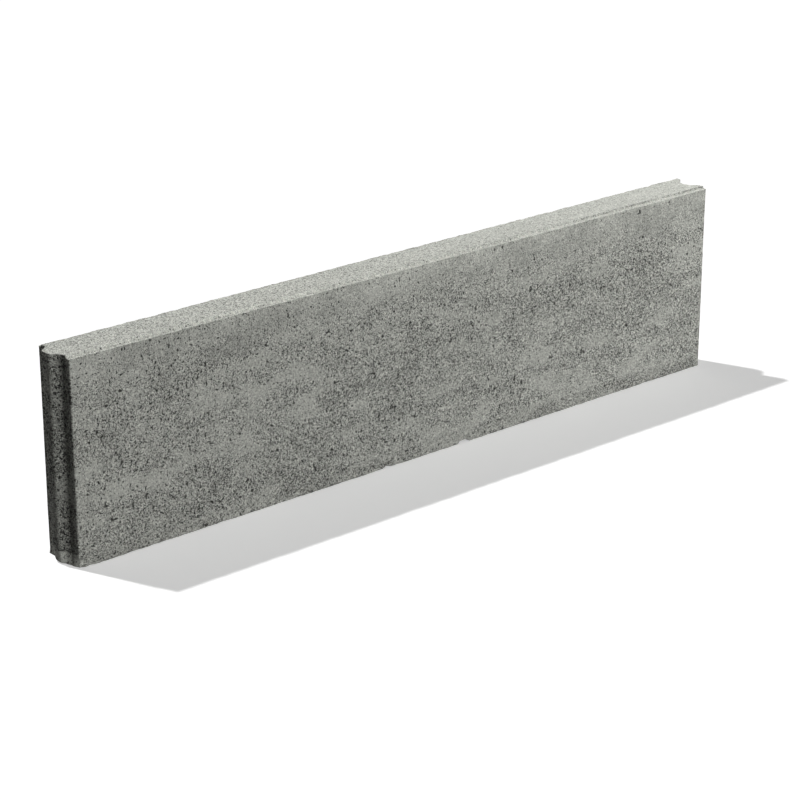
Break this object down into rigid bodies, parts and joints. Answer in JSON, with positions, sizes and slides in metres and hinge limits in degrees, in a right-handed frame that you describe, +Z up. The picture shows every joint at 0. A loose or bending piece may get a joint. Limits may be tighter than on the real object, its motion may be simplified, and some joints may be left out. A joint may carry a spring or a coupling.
{
  "type": "concrete kerb stone",
  "caption": "Upright concrete edging kerb with pressed top arrises, a rounded tongue on one end and a matching groove in the other, laid end to end along paths and lawns.",
  "frame": {"origin": "middle of the bed face, half-way between the shoulders of the two ends", "axes": "+X along the length towards the groove, so the tongue is at -X; -Y out of the front face; +Z up"},
  "size_m": [1.011, 0.06, 0.25],
  "materials": {
    "concrete": "matte"
  },
  "bodies": {
    "root": {"kerb_stone": "concrete"}
  },
  "joints": []
}
